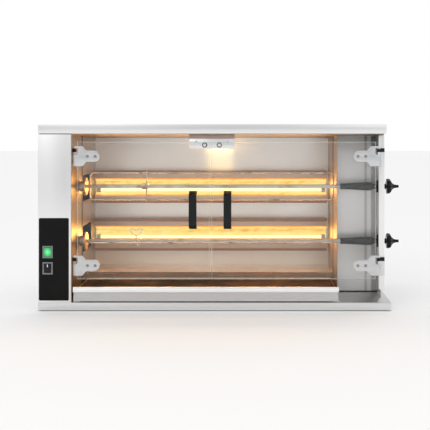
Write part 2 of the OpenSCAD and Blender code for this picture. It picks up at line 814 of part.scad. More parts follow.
// Leaves, ears and pins of the four hinges
module hinge_brackets() {
    ears = [[barrel_top + 0.4, 20], [barrel_low - 7, barrel_low - 0.4]];
    color("#3a3c3e")
    for (z = hinge_heights, side = [0, 1]) {
        xp = side == 0 ? x_pivot_l : x_pivot_r;
        out = side == 0 ? x_cav : x_wall;
        for (e = ears) {
            rod_z(xp, y_pivot, z + e[0], e[1] - e[0], 2 * ear_r);
            slab(xp - ear_r, xp + ear_r, y_pivot, y_leaf, z + e[0], z + e[1]);
            slab(min(xp - ear_r, out), max(xp + ear_r, out), y_leaf - leaf_t, y_leaf,
                z + e[0], z + e[1]);
        }
        rod_z(xp, y_pivot, z + barrel_low - 5, barrel_top - barrel_low + 10, hinge_pin);
        if (side == 0) slab(x_cav, x_cav + 1.5, y_leaf - leaf_t, y_leaf + 25, z - 24, z + 24);
    }
    for (z = hinge_heights)
        slab(x_wall_in - 9, x_wall, y_leaf - leaf_t, y_leaf, z - 30, z + 24);
}

// ---- Tray ----

module drip_tray() {
    lip_z = z_tray + 26;
    front = y_front + 3;
    back = y_front + tray_d;
    color("#e3e5e6") {
        difference() {
            slab(x_tray_l, x_tray_r, front, back, z_tray, z_grate + 2);
            slab(x_tray_l + tray_wall, x_tray_r - tray_wall, front + tray_wall, back - tray_wall,
                z_tray + tray_wall, z_rim);
        }
        slab(x_tray_l, x_tray_r, front, front + tray_wall, z_tray, z_rim);
        slab(x_tray_l - 2, x_tray_r + 2, y_front, front, lip_z, z_rim);
    }
}

// A lift-out grate of round-topped bars on two cross bars
module drip_grate() {
    b = grate_bar;
    x0 = x_tray_l + tray_wall + 1;
    x1 = x_tray_r - tray_wall - 1;
    y0 = y_front + 3 + tray_wall + 1;
    y1 = y_front + tray_d - tray_wall - 1;
    count = floor((y1 - y0) / (3 * b));
    color("#4a3426") {
        for (i = [0:count]) slab(x0, x1, y0 + i * 3 * b, y0 + i * 3 * b + b, z_grate - b, z_grate);
        for (x = [x0 + 40, (x0 + x1) / 2, x1 - 40]) {
            slab(x - b, x + b, y0, y0 + count * 3 * b + b, z_grate - 2 * b, z_grate - b);
            for (y = [y0, y0 + count * 3 * b])
                slab(x - b, x + b, y, y + b, z_tray + tray_wall, z_grate - 2 * b);
        }
    }
}

module casing_screws() {
    color("#a3a6a8") {
        for (x = [x_base + 60, x_base + 350, x_base + 650, x_wall - 60],
            z = [z_deck + 20, (z_deck + z_roof) / 2, z_roof - 20])
            rod_y(x, y_back - sheet, z, sheet, 8);
        for (x = [catch_x - 45, catch_x + 45])
            rod_y(x, y_glass_b + 4 - 1.4, catch_z + 10, 1.4, 6);
    }
}

// ---- Named sub-parts made by the shared modules above ----

module green_rocker() { color("#2fae4a") rocker(switch_places[1]); }
module black_rocker() { color("#1c1c1c") rocker(switch_places[0]); }
module left_hinge_plates() { door_plates(x_pivot_l, 1); }
module right_hinge_plates() { door_plates(x_pivot_r, -1); }
module left_handle() { door_handle(x_split - handle_off); }
module right_handle() { door_handle(x_split + handle_off); }
module left_door_screws() { door_screws(x_pivot_l, 1, x_split - handle_off); }
module right_door_screws() { door_screws(x_pivot_r, -1, x_split + handle_off); }
module upper_coupling() { color("#8d8a84") coupling(z_high_spit, x_sprocket - 8); }
module lower_coupling() { color("#8d8a84") coupling(z_low_spit, x_motor_face - 20); }
module upper_sprocket() { color("#7b7d80") sprocket(x_sprocket, z_high_spit); }
module lower_sprocket() { color("#7b7d80") sprocket(x_sprocket, z_low_spit); }
module upper_spit_bar() { color("#c7c4bc") spit_bar(z_high_spit); }
module lower_spit_bar() { color("#c7c4bc") spit_bar(z_low_spit); }
module upper_wire_frame() { color("#b9b2a4") wire_frame(z_high_spit, 0); }
module lower_wire_frame() { color("#b9b2a4") wire_frame(z_low_spit, 90); }
module upper_spit_handle() { spit_handle(z_high_spit); }
module lower_spit_handle() { spit_handle(z_low_spit); }
module upper_fork() { fork(z_high_spit, fork_places[1], 0); }
module lower_fork() { fork(z_low_spit, fork_places[0], 90); }
module upper_support_pin() { support_pin(z_high_spit); }
module lower_support_pin() { support_pin(z_low_spit); }
module upper_pin_spring() { pin_spring(z_high_spit); }
module lower_pin_spring() { pin_spring(z_low_spit); }
module upper_pull_knob() { pull_knob(z_high_spit); }
module lower_pull_knob() { pull_knob(z_low_spit); }

base_plate();
feet();
roof_panel();
roof_liner();
cabinet_front();
cabinet_side();
control_panel();
switch_housings();
rear_panel();
cavity_back();
cavity_left_wall();
cavity_right_wall();
bay_back_panel();
right_side_wall();
rear_ledge();
tray_runners();
catch_bracket();
catch_magnets();
lamp_holder();
lamp_glass();
reflectors();
heater_tubes();
tube_holders();
gear_motor();
drive_chain();
shaft_bearings();
cable_gland();
hinge_brackets();
pin_guides();
casing_screws();
green_rocker();
black_rocker();
left_glass();
left_hinge_plates();
left_handle();
left_door_screws();
right_glass();
right_hinge_plates();
right_handle();
right_door_screws();
upper_coupling();
upper_sprocket();
upper_spit_bar();
upper_wire_frame();
upper_spit_handle();
upper_fork();
lower_coupling();
lower_sprocket();
lower_spit_bar();
lower_wire_frame();
lower_spit_handle();
lower_fork();
upper_support_pin();
upper_pull_knob();
lower_support_pin();
lower_pull_knob();
upper_pin_spring();
lower_pin_spring();
drip_tray();
drip_grate();
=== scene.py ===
"""Looks of the rotisserie oven: stainless casing, glass doors, spits, glowing heaters and drip tray."""
import json
import math

import bmesh
import bpy
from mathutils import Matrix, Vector


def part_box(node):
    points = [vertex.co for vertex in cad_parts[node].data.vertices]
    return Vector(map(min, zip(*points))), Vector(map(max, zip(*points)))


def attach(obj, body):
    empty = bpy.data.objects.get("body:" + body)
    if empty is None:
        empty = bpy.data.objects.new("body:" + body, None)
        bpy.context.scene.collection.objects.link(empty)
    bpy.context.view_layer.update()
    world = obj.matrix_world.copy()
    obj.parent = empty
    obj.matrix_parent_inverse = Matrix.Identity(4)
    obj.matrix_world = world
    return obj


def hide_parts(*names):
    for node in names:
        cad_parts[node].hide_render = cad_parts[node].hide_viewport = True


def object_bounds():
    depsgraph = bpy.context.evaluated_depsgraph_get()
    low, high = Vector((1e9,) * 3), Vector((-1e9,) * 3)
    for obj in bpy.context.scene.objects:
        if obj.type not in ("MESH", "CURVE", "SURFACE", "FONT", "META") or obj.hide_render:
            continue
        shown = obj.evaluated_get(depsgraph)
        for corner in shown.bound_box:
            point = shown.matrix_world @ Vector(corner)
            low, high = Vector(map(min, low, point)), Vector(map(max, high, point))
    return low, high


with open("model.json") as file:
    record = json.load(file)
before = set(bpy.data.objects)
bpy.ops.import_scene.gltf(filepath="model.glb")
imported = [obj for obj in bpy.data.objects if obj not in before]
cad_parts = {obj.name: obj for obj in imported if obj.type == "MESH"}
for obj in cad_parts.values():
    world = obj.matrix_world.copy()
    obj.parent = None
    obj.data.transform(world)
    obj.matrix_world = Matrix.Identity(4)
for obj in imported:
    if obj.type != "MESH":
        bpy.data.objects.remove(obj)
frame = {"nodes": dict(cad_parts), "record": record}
cad_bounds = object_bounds()
nodes = frame["nodes"]
MM = 0.001
QUARTER_TURN = math.pi / 2
DUST = 0.15                          # share of a plastic's surface that dust may grey
PRINTED_WHITE = (0.80, 0.82, 0.82)   # the strokes on the rockers


# ---- Shader maths -------------------------------------------------------------------------

class Field:
    """One socket of a material's tree, with arithmetic that adds Math nodes."""

    def __init__(self, tree, socket):
        self.tree = tree
        self.socket = socket

    def node(self, kind, settings=None, output=0, **inputs):
        """Any node: settings are set first, then each input by its name or place."""
        made = self.tree.nodes.new(kind)
        for name, value in (settings or {}).items():
            if name == "stops":
                set_stops(made.color_ramp, value)
            else:
                setattr(made, name, value)
        for name, value in inputs.items():
            key = int(name[1:]) if name[0] == "i" and name[1:].isdigit() else name.replace("_", " ")
            target = made.inputs[key]
            if isinstance(value, Field):
                self.tree.links.new(value.socket, target)
            else:
                target.default_value = value
        return Field(self.tree, made.outputs[output])

    def math(self, operation, *values):
        inputs = {f"i{place}": value for place, value in enumerate(values)}
        return self.node("ShaderNodeMath", {"operation": operation}, **inputs)

    def __add__(self, other):
        return self.math("ADD", self, other)

    def __radd__(self, other):
        return self.math("ADD", other, self)

    def __sub__(self, other):
        return self.math("SUBTRACT", self, other)

    def __rsub__(self, other):
        return self.math("SUBTRACT", other, self)

    def __mul__(self, other):
        return self.math("MULTIPLY", self, other)

    def __rmul__(self, other):
        return self.math("MULTIPLY", other, self)

    def __truediv__(self, other):
        return self.math("DIVIDE", self, other)

    def clamp(self):
        return self.math("MINIMUM", self.math("MAXIMUM", self, 0.0), 1.0)

    def near(self, place, width):
        """1 where the value is at the place, falling to 0 at the width."""
        return (1.0 - self.math("ABSOLUTE", self - place) / width).clamp()

    def over(self, place, soft=0.0004):
        """0 below the place and 1 above it."""
        return ((self - place) / soft + 0.5).clamp()

    def noise(self, scale, detail=3.0, stretch=(1.0, 1.0, 1.0), output=0):
        placed = self.node("ShaderNodeVectorMath", {"operation": "MULTIPLY"}, i0=self, i1=stretch)
        return placed.node("ShaderNodeTexNoise", None, output, Vector=placed, Scale=scale, Detail=detail)

    def blend(self, first, second):
        """Mixes two colours by this value."""
        mix = self.tree.nodes.new("ShaderNodeMix")
        mix.data_type = "RGBA"
        self.tree.links.new(self.socket, mix.inputs[0])
        for place, colour in ((6, first), (7, second)):
            if isinstance(colour, Field):
                self.tree.links.new(colour.socket, mix.inputs[place])
            else:
                mix.inputs[place].default_value = (*colour, 1.0)
        return Field(self.tree, mix.outputs[2])

    def ramp(self, *stops):
        return self.node("ShaderNodeValToRGB", {"stops": stops}, i0=self)

    def bump(self, strength, distance):
        return self.node("ShaderNodeBump", None, 0, Strength=strength, Distance=distance, Height=self)


def set_stops(ramp, stops):
    """Fills a colour ramp with (place, colour) pairs."""
    while len(ramp.elements) < len(stops):
        ramp.elements.new(0.5)
    for element, (place, colour) in zip(ramp.elements, stops):
        element.position = place
        element.color = (*colour, 1.0)


def new_finish(name):
    """A material with its Principled shader, and the Object coordinates to vary it by."""
    material = bpy.data.materials.new(name)
    material.use_nodes = True
    tree = material.node_tree
    shader = tree.nodes["Principled BSDF"]
    coords = tree.nodes.new("ShaderNodeTexCoord")
    return material, shader, Field(tree, coords.outputs["Object"])


def along(place, axis):
    """One coordinate of the place."""
    return place.node("ShaderNodeSeparateXYZ", None, "XYZ".index(axis), Vector=place)


def feed(shader, **values):
    """Sets the shader's sockets: numbers and colours directly, fields by a link."""
    for name, value in values.items():
        socket = shader.inputs[name.replace("_", " ")]
        if isinstance(value, Field):
            value.tree.links.new(value.socket, socket)
        elif isinstance(value, tuple) and len(value) == 3:
            socket.default_value = (*value, 1.0)
        else:
            socket.default_value = value


# ---- Finishes -----------------------------------------------------------------------------

def brushed_steel(name, tone, grain="X", roughness=0.3, tint=None, tint_share=0.0, wear=0.5, zones=()):
    """Stainless sheet: grain lines along one axis and faint smears. A tint comes in patches on hot
    pieces; each zone is (mask, colour), for a seam, a part's own colour, painted shade or a painted darker
    reflection."""
    material, shader, place = new_finish(name)
    long_scale, cross_scale = 4.0, 900.0
    stretch = tuple(long_scale if axis == grain else cross_scale for axis in "XYZ")
    lines = place.noise(1.0, 2.0, stretch)
    smears = place.noise(5.0, 4.0)
    cloud = place.noise(1.6, 2.0)
    shade = 0.94 + lines * 0.07 + cloud * 0.05
    colour = shade.ramp((0.85, tuple(0.86 * part for part in tone)),
                        (1.0, tuple(min(1.0, 1.04 * part) for part in tone)))
    if tint:
        patches = (place.noise(3.2, 5.0) - 0.42) * 3.2
        colour = (patches.clamp() * tint_share).blend(colour, tint)
    for mask, other in zones:
        colour = mask(place).blend(colour, other)
    feed(shader, Base_Color=colour, Metallic=1.0,
         Roughness=roughness + (lines - 0.5) * 0.12 + (smears - 0.5) * 0.16 * wear,
         Normal=lines.bump(0.05, 0.0004), Anisotropic=0.35)
    return material


def plastic(name, tone, roughness, grain_scale=900.0, grain=0.08, coat=0.0, gloss=0.5, mark=None):
    """Moulded plastic: a fine grain, fingerprints in the gloss and a trace of dust."""
    material, shader, place = new_finish(name)
    grains = place.noise(grain_scale, 2.0)
    prints = place.noise(38.0, 5.0)
    settled = ((place.noise(16.0, 4.0) - 0.5) * 4.0).clamp() * DUST
    colour = (settled * 0.35).blend(tone, tuple(min(1.0, part + 0.04) for part in tone))
    if mark:
        colour = mark(place).blend(colour, PRINTED_WHITE)
    feed(shader, Base_Color=colour, Roughness=roughness + (prints - 0.5) * 0.22,
         Normal=grains.bump(grain, 0.0003), Coat_Weight=coat, Coat_Roughness=0.12, Specular_IOR_Level=gloss)
    return material


def metal(name, tone, roughness, stain=(0.25, 0.2, 0.16), stain_share=0.2, scale=60.0, metallic=1.0):
    """Turned, plated or cast metal with small stains and a fine unevenness."""
    material, shader, place = new_finish(name)
    spots = place.noise(scale, 5.0)
    fine = place.noise(scale * 14.0, 2.0)
    stains = ((spots - 0.5) * 5.0).clamp() * stain_share
    feed(shader, Base_Color=stains.blend(tone, stain), Metallic=metallic,
         Roughness=roughness + (fine - 0.5) * 0.2 + stains * 0.4, Normal=fine.bump(0.08, 0.0003))
    return material


def glow_reflector(rows):
    """The reflectors: mottled yellow troughs whose emission is painted glow from the tubes, whitest behind the
    tube and redder at their rims, in housings whose faces are tan and whose outer flanges carry a painted
    brown-orange reflection of that glow."""
    material, shader, place = new_finish("reflector_glow")
    height = along(place, "Z")
    mottle = place.noise(1.0, 6.0, (16.0, 60.0, 150.0))
    blotch = place.noise(1.0, 4.0, (60.0, 60.0, 90.0))
    sums = None
    for middle, half, tube in rows:
        apart = height.math("ABSOLUTE", height - middle)
        parts = (1.0 - apart.over(half, 0.003), height.near(tube, half * 0.55),
                 apart.near(half - 0.001, 0.0045),
                 apart.over(half + 0.014, 0.004) * (1.0 - apart.over(half + 0.03)))
        sums = parts if sums is None else tuple(before + part for before, part in zip(sums, parts))
    inside, core, rim, flange_reflection = sums
    # Painted light: the trough's emission stands in for the tubes' glow on it, brightest at the tube.
    painted_glow = (mottle * 0.7 + (blotch - 0.5) * 0.6 + core * 0.35 - rim * 0.55 + 0.10).clamp()
    glow = painted_glow.ramp((0.06, (0.80, 0.16, 0.02)), (0.26, (0.92, 0.42, 0.06)),
                       (0.42, (0.93, 0.68, 0.17)), (0.85, (1.0, 0.86, 0.36)))
    # The flange band's brown-orange is a painted reflection of the glow.
    face = flange_reflection.clamp().blend((0.62, 0.52, 0.43), (0.42, 0.20, 0.10))
    feed(shader, Base_Color=inside.clamp().blend(face, (0.16, 0.09, 0.03)), Metallic=0.8,
         Roughness=0.38 + (mottle - 0.5) * 0.2, Emission_Color=inside.clamp().blend((0.0, 0.0, 0.0), glow),
         Emission_Strength=0.95, Normal=mottle.bump(0.35, 0.002))
    return material


def glowing(name, low, high, strength, scale=30.0, roughness=0.3):
    """Glass lit from inside, a little uneven along its length."""
    material, shader, place = new_finish(name)
    uneven = place.noise(scale, 2.0)
    feed(shader, Base_Color=high, Roughness=roughness + (uneven - 0.5) * 0.1,
         Emission_Color=uneven.blend(low, high), Emission_Strength=strength)
    return material


def seasoned_iron():
    """The grate: baked fat and scale over dark iron, with rust brown patches."""
    material, shader, place = new_finish("grate_brown")
    crust = place.noise(90.0, 6.0)
    patches = ((place.noise(9.0, 4.0) - 0.45) * 4.0).clamp()
    feed(shader, Base_Color=patches.blend((0.030, 0.016, 0.010), (0.16, 0.068, 0.030)),
         Metallic=0.25, Roughness=0.42 + crust * 0.4, Normal=crust.bump(0.5, 0.0012))
    return material


def ceramic():
    """Unglazed tube holders, chalky and scorched here and there."""
    material, shader, place = new_finish("ceramic")
    pores = place.noise(420.0, 3.0)
    scorch = ((place.noise(40.0, 3.0) - 0.5) * 4.0).clamp()
    feed(shader, Base_Color=(scorch * 0.5).blend((0.78, 0.73, 0.64), (0.42, 0.27, 0.14)),
         Roughness=0.7 + pores * 0.2, Normal=pores.bump(0.25, 0.0006))
    return material


def lit_green():
    """The green lens of the lit rocker: brighter in the middle, where its lamp sits."""
    material, shader, place = new_finish("green_lens")
    low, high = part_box("green_rocker")
    middle = (low + high) / 2
    shine = along(place, "Z").near(middle.z, 0.016) * along(place, "X").near(middle.x, 0.014)
    ribs = place.noise(260.0, 2.0)
    feed(shader, Base_Color=shine.blend((0.005, 0.16, 0.04), (0.05, 0.62, 0.16)), Roughness=0.16 + ribs * 0.08,
         Emission_Color=shine.blend((0.0, 0.10, 0.02), (0.12, 0.75, 0.25)), Emission_Strength=0.9,
         Coat_Weight=0.6, Coat_Roughness=0.06)
    return material


# ---- Mesh work ----------------------------------------------------------------------------

def to_object(name, mesh, finish, smooth_angle=35.0):
    """Links a finished mesh as a piece, with its finish and its sharp edges kept sharp."""
    piece = bpy.data.objects.new(name, mesh)
    bpy.context.scene.collection.objects.link(piece)
    mesh.materials.clear()
    mesh.materials.append(finish)
    mesh.shade_smooth()
    mesh.set_sharp_from_angle(angle=math.radians(smooth_angle))
    return piece


def from_bmesh(name, shape, finish, smooth_angle=35.0):
    """Closes a built shape, turns its faces outward and links it as a piece."""
    bmesh.ops.remove_doubles(shape, verts=shape.verts, dist=1e-6)
    bmesh.ops.recalc_face_normals(shape, faces=shape.faces)
    mesh = bpy.data.meshes.new(name)
    shape.to_mesh(mesh)
    shape.free()
    return to_object(name, mesh, finish, smooth_angle)


def stand_for(piece, node, body):
    """Puts a piece on its body in place of one CAD node, which is hidden."""
    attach(piece, body)
    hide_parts(node)
    return piece


def softened(node, body, finish, width, segments=2, angle=40.0):
    """A copy of a CAD node with its sharp edges broken, as pressing and polishing leave them."""
    shape = bmesh.new()
    shape.from_mesh(nodes[node].data)
    bmesh.ops.remove_doubles(shape, verts=shape.verts, dist=1e-6)
    bmesh.ops.dissolve_limit(shape, angle_limit=math.radians(1.0), verts=shape.verts, edges=shape.edges)
    sharp = [edge for edge in shape.edges
             if len(edge.link_faces) == 2 and edge.calc_face_angle(0.0) > math.radians(angle)]
    bmesh.ops.bevel(shape, geom=sharp, offset=width * MM, segments=segments, profile=0.5,
                    affect="EDGES", clamp_overlap=True)
    bmesh.ops.triangulate(shape, faces=[face for face in shape.faces if len(face.verts) > 4])
    piece = from_bmesh(node + "_soft", shape, finish)
    return stand_for(piece, node, body)


def skin(shape, rings):
    """Walls between rings of equal length, and a cap at each end."""
    for first, second in zip(rings, rings[1:]):
        for step in range(len(first)):
            after = (step + 1) % len(first)
            shape.faces.new((first[step], first[after], second[after], second[step]))
    shape.faces.new(rings[0][::-1])
    shape.faces.new(rings[-1])


def revolved(name, axis_start, profile, finish, lobes=0, depth=0.0, sides=48):
    """Turned piece along X: profile is (distance along, radius, how much the lobes cut in)."""
    shape = bmesh.new()
    rings = []
    for distance, radius, share in profile:
        ring = []
        for step in range(sides):
            turn = 2.0 * math.pi * step / sides
            reach = radius * (1.0 - depth * share * (0.5 + 0.5 * math.cos(lobes * turn)))
            spot = Vector((distance, reach * math.cos(turn), reach * math.sin(turn)))
            ring.append(shape.verts.new(axis_start + spot))
        rings.append(ring)
    skin(shape, rings)
    return from_bmesh(name, shape, finish, 50.0)


def rounded_path(corners, radius, steps=6):
    """Points along straight runs whose corners are replaced by arcs."""
    points = [corners[0]]
    for before, corner, after in zip(corners, corners[1:], corners[2:]):
        back = (before - corner).normalized() * radius
        on = (after - corner).normalized() * radius
        for step in range(steps + 1):
            share = step / steps
            points.append(corner + back * (1 - share) ** 2 + on * share ** 2)
    points.append(corners[-1])
    return points


def wire_mesh(name, paths, radius, finish, sides=12):
    """Round wire swept along each path, closed at both ends."""
    curve = bpy.data.curves.new(name, "CURVE")
    curve.dimensions = "3D"
    curve.bevel_depth = radius
    curve.bevel_resolution = sides // 4
    curve.use_fill_caps = True
    for path in paths:
        spline = curve.splines.new("POLY")
        spline.points.add(len(path) - 1)
        for point, place in zip(spline.points, path):
            point.co = (*place, 1.0)
    holder = bpy.data.objects.new(name + "_curve", curve)
    bpy.context.scene.collection.objects.link(holder)
    mesh = bpy.data.meshes.new_from_object(holder.evaluated_get(bpy.context.evaluated_depsgraph_get()))
    bpy.data.objects.remove(holder)
    shape = bmesh.new()
    shape.from_mesh(mesh)
    return from_bmesh(name, shape, finish, 50.0)


# ---- Geometry Nodes -----------------------------------------------------------------------

def tree_with(name, sockets):
    """An empty Geometry Nodes tree with named inputs, each (name, kind, value)."""
    tree = bpy.data.node_groups.new(name, "GeometryNodeTree")
    tree.interface.new_socket("Geometry", in_out="OUTPUT", socket_type="NodeSocketGeometry")
    for label, kind, value in sockets:
        socket = tree.interface.new_socket(label, in_out="INPUT", socket_type="NodeSocket" + kind)
        if value is not None:
            socket.default_value = value
    return tree, tree.nodes.new("NodeGroupInput"), tree.nodes.new("NodeGroupOutput")


def grow(name, tree, finish, smooth_angle=35.0, **values):
    """Runs a tree and returns its result as a plain piece."""
    seed = bpy.data.meshes.new(name + "_seed")
    holder = bpy.data.objects.new(name + "_holder", seed)
    bpy.context.scene.collection.objects.link(holder)
    values["finish"] = finish
    modifier = holder.modifiers.new("grow", "NODES")
    modifier.node_group = tree
    for item in tree.interface.items_tree:
        key = item.name.replace(" ", "_").lower()
        if item.in_out == "INPUT" and key in values:
            modifier[item.identifier] = values[key]
    bpy.context.view_layer.update()
    mesh = bpy.data.meshes.new_from_object(holder.evaluated_get(bpy.context.evaluated_depsgraph_get()))
    bpy.data.objects.remove(holder)
    return to_object(name, mesh, finish, smooth_angle)


def row_tree():
    """Round bars of one length and radius, side by side: the grate's rods, ties and legs."""
    tree, start, end = tree_with("row_of_bars", [
        ("Count", "Int", 10), ("First", "Vector", None), ("Step", "Vector", None), ("Length", "Float", 1.0),
        ("Radius", "Float", 0.002), ("Turn", "Vector", None), ("Finish", "Material", None)])
    line = tree.nodes.new("GeometryNodeMeshLine")
    bar = tree.nodes.new("GeometryNodeMeshCylinder")
    bar.inputs["Vertices"].default_value = 10
    spread = tree.nodes.new("GeometryNodeInstanceOnPoints")
    solid = tree.nodes.new("GeometryNodeRealizeInstances")
    paint = tree.nodes.new("GeometryNodeSetMaterial")
    link = tree.links.new
    link(start.outputs["Count"], line.inputs["Count"])
    link(start.outputs["First"], line.inputs["Start Location"])
    link(start.outputs["Step"], line.inputs["Offset"])
    link(start.outputs["Radius"], bar.inputs["Radius"])
    link(start.outputs["Length"], bar.inputs["Depth"])
    link(line.outputs["Mesh"], spread.inputs["Points"])
    link(bar.outputs["Mesh"], spread.inputs["Instance"])
    link(start.outputs["Turn"], spread.inputs["Rotation"])
    link(spread.outputs["Instances"], solid.inputs["Geometry"])
    link(solid.outputs["Geometry"], paint.inputs["Geometry"])
    link(start.outputs["Finish"], paint.inputs["Material"])
    link(paint.outputs["Geometry"], end.inputs["Geometry"])
    return tree


def scatter_tree():
    """One shape on each of a holder's points: screw heads."""
    tree, start, end = tree_with("one_on_each_point", [
        ("Points", "Object", None), ("Shape", "Object", None), ("Turn", "Vector", None),
        ("Finish", "Material", None)])
    places = tree.nodes.new("GeometryNodeObjectInfo")
    shape = tree.nodes.new("GeometryNodeObjectInfo")
    spread = tree.nodes.new("GeometryNodeInstanceOnPoints")
    solid = tree.nodes.new("GeometryNodeRealizeInstances")
    paint = tree.nodes.new("GeometryNodeSetMaterial")
    link = tree.links.new
    link(start.outputs["Points"], places.inputs["Object"])
    link(start.outputs["Shape"], shape.inputs["Object"])
    link(places.outputs["Geometry"], spread.inputs["Points"])
    link(shape.outputs["Geometry"], spread.inputs["Instance"])
    link(start.outputs["Turn"], spread.inputs["Rotation"])
    link(spread.outputs["Instances"], solid.inputs["Geometry"])
    link(solid.outputs["Geometry"], paint.inputs["Geometry"])
    link(start.outputs["Finish"], paint.inputs["Material"])
    link(paint.outputs["Geometry"], end.inputs["Geometry"])
    return tree


def screw_shape(radius, height, hexagon):
    """A domed head along +Z with a socket, or a cross recess, cut into its top."""
    shape = bmesh.new()
    sides = 24
    dome = [(1.0, 0.0), (1.0, 0.35), (0.93, 0.7), (0.75, 0.93), (0.52, 1.0)]
    recess = [(0.46, 1.0), (0.42, 0.45)]
    rings = []
    for reach, level in dome + recess:
        ring = []
        for step in range(sides):
            turn = 2.0 * math.pi * step / sides
            corner = 1.0
            if (reach, level) in recess:
                corner = hex_reach(turn) if hexagon else cross_reach(turn)
            ring.append(shape.verts.new((radius * reach * corner * math.cos(turn),
                                         radius * reach * corner * math.sin(turn), height * level)))
        rings.append(ring)
    skin(shape, rings)
    bmesh.ops.recalc_face_normals(shape, faces=shape.faces)
    mesh = bpy.data.meshes.new("screw_shape")
    shape.to_mesh(mesh)
    shape.free()
    mesh.shade_smooth()
    return mesh


def hex_reach(turn):
    """Radius of a hexagon with unit corners, at an angle."""
    sixth = math.pi / 3.0
    return math.cos(sixth / 2.0) / math.cos(turn % sixth - sixth / 2.0)


def cross_reach(turn):
    """Radius of a cross recess, at an angle."""
    return 0.35 + 0.65 * abs(math.cos(2.0 * turn)) ** 3


def screws(name, places, radius, height, turn, finish, hexagon=False):
    """Screw heads at the places, all turned the same way."""
    points = bpy.data.meshes.new(name + "_points")
    points.from_pydata([tuple(place) for place in places], [], [])
    point_holder = bpy.data.objects.new(name + "_points", points)
    shape_holder = bpy.data.objects.new(name + "_shape", screw_shape(radius, height, hexagon))
    for holder in (point_holder, shape_holder):
        bpy.context.scene.collection.objects.link(holder)
    made = grow(name, scatter, finish, points=point_holder, shape=shape_holder, turn=turn)
    for holder in (point_holder, shape_holder):
        bpy.data.objects.remove(holder)
    return made


rows = row_tree()
scatter = scatter_tree()


# ---- Places and sizes taken from the frame ------------------------------------------------

record = frame["record"]
body_of = {node: body for body, members in record["behaviour"]["bodies"].items() for node in members}
slot_of = {row["node"]: row["material_slot"] for row in record["subparts"]}
REFLECTOR_H = 0.102          # height of one reflector's housing
TROUGH_HALF = 0.029          # half the height of its open trough
refl_low, refl_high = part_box("reflectors")
tubes_low, tubes_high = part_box("heater_tubes")
tube_r = (tubes_high.y - tubes_low.y) / 2
heater_rows = [(refl_low.z + REFLECTOR_H / 2, TROUGH_HALF, tubes_low.z + tube_r),
               (refl_high.z - REFLECTOR_H / 2, TROUGH_HALF, tubes_high.z - tube_r)]


def centre_of(node):
    low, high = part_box(node)
    return (low + high) / 2


def solids_of(node):
    """Lowest and highest corner of each separate solid in a node."""
    shape = bmesh.new()
    shape.from_mesh(nodes[node].data)
    bmesh.ops.remove_doubles(shape, verts=shape.verts, dist=1e-6)
    left = set(shape.verts)
    found = []
    while left:
        stack = [left.pop()]
        island = []
        while stack:
            vertex = stack.pop()
            island.append(vertex.co.copy())
            for edge in vertex.link_edges:
                other = edge.other_vert(vertex)
                if other in left:
                    left.remove(other)
                    stack.append(other)
        found.append((Vector(min(p[i] for p in island) for i in range(3)),
                      Vector(max(p[i] for p in island) for i in range(3))))
    shape.free()
    return sorted(found, key=lambda box: tuple(round(part, 4) for part in box[0]))


# ---- One finish for each material slot ----------------------------------------------------

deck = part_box("base_plate")[1].z
lip_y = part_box("drip_tray")[0].y
lip_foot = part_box("drip_tray")[1].z - 0.0165      # where the tray's bright lip ends
right_wall_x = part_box("right_side_wall")[0].x
bay_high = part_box("bay_back_panel")[1]
disc_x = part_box("upper_coupling")[1].x - 0.0062   # back of the couplings' discs
LEFT_SEAM_Y = -0.053
RIGHT_SEAM_Y = 0.007
BAY_SEAM_Z = 0.062


def left_seam(place):
    """The joint between the left wall's two sheets."""
    return (along(place, "Y").near(LEFT_SEAM_Y, 0.014) * 1.8).clamp()


def right_seam(place):
    """The same on the right wall."""
    return (along(place, "Y").near(RIGHT_SEAM_Y, 0.020) * 1.8).clamp()


def deck_top(place):
    """The base's top beside the bay, which mirrors the dark wall above it."""
    return along(place, "Z").over(deck - 0.0008) * along(place, "X").over(0.30, 0.3) * 0.75


def tray_inside(place):
    """All of the tray behind its lip, darker and browner."""
    return along(place, "Y").over(lip_y + 0.0045)


def shaded_front_under_lip(place):
    """The tray's front below its lip, painted darker as shade against the lip that faces the light."""
    return 1.0 - along(place, "Z").over(lip_foot)


def lip_fold_shade(place):
    """The fold line between the lip and the front, painted dark as the shade in the crease."""
    return along(place, "Z").near(lip_foot, 0.0012)


def cabinet_dark(place):
    """The inner face of the cabinet's side, unlit behind the wiring windows."""
    return along(place, "X").over(cad_bounds[0].x + 0.003)


def rear_unlit_shade(place):
    """The rear panel's inner face behind the same windows, painted near black as unlit shade."""
    return 1.0 - along(place, "Y").over(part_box("rear_panel")[1].y - 0.0006)


def disc_glow(place):
    """The couplings' discs, orange where the drums stay pale."""
    return along(place, "X").over(disc_x)


def inner_wall_reflection(place):
    """The right wall's face toward the bay, painted darker as a dark reflection."""
    return 1.0 - along(place, "X").over(right_wall_x + 0.0006)


def bay_reflections_and_shade(place):
    """Painted dark reflections in soft upright bands that darken toward the right wall, and painted shade under
    the roof.
    """
    across = along(place, "X")
    band = across.over(bay_high.x - 0.016, 0.004) * 0.6 + across.near(bay_high.x - 0.032, 0.006) * 0.5
    shade = along(place, "Z").over(bay_high.z - 0.03, 0.05) * 0.5
    return (band + shade).clamp()


def bay_seam(place):
    """The fold across the foot of the bay's back panel."""
    return along(place, "Z").near(BAY_SEAM_Z, 0.0014) * 1.4


def magnet_ring(place):
    """The dark gap around each catch magnet's bright middle."""
    rings = None
    for low, high in solids_of("catch_magnets"):
        middle = (low + high) / 2
        across, up = along(place, "X") - middle.x, along(place, "Z") - middle.z
        away = across.math("SQRT", across * across + up * up)
        ring = away.near((high.x - low.x) * 0.40, (high.x - low.x) * 0.13) * 2.0
        rings = ring if rings is None else rings + ring
    return rings.clamp()


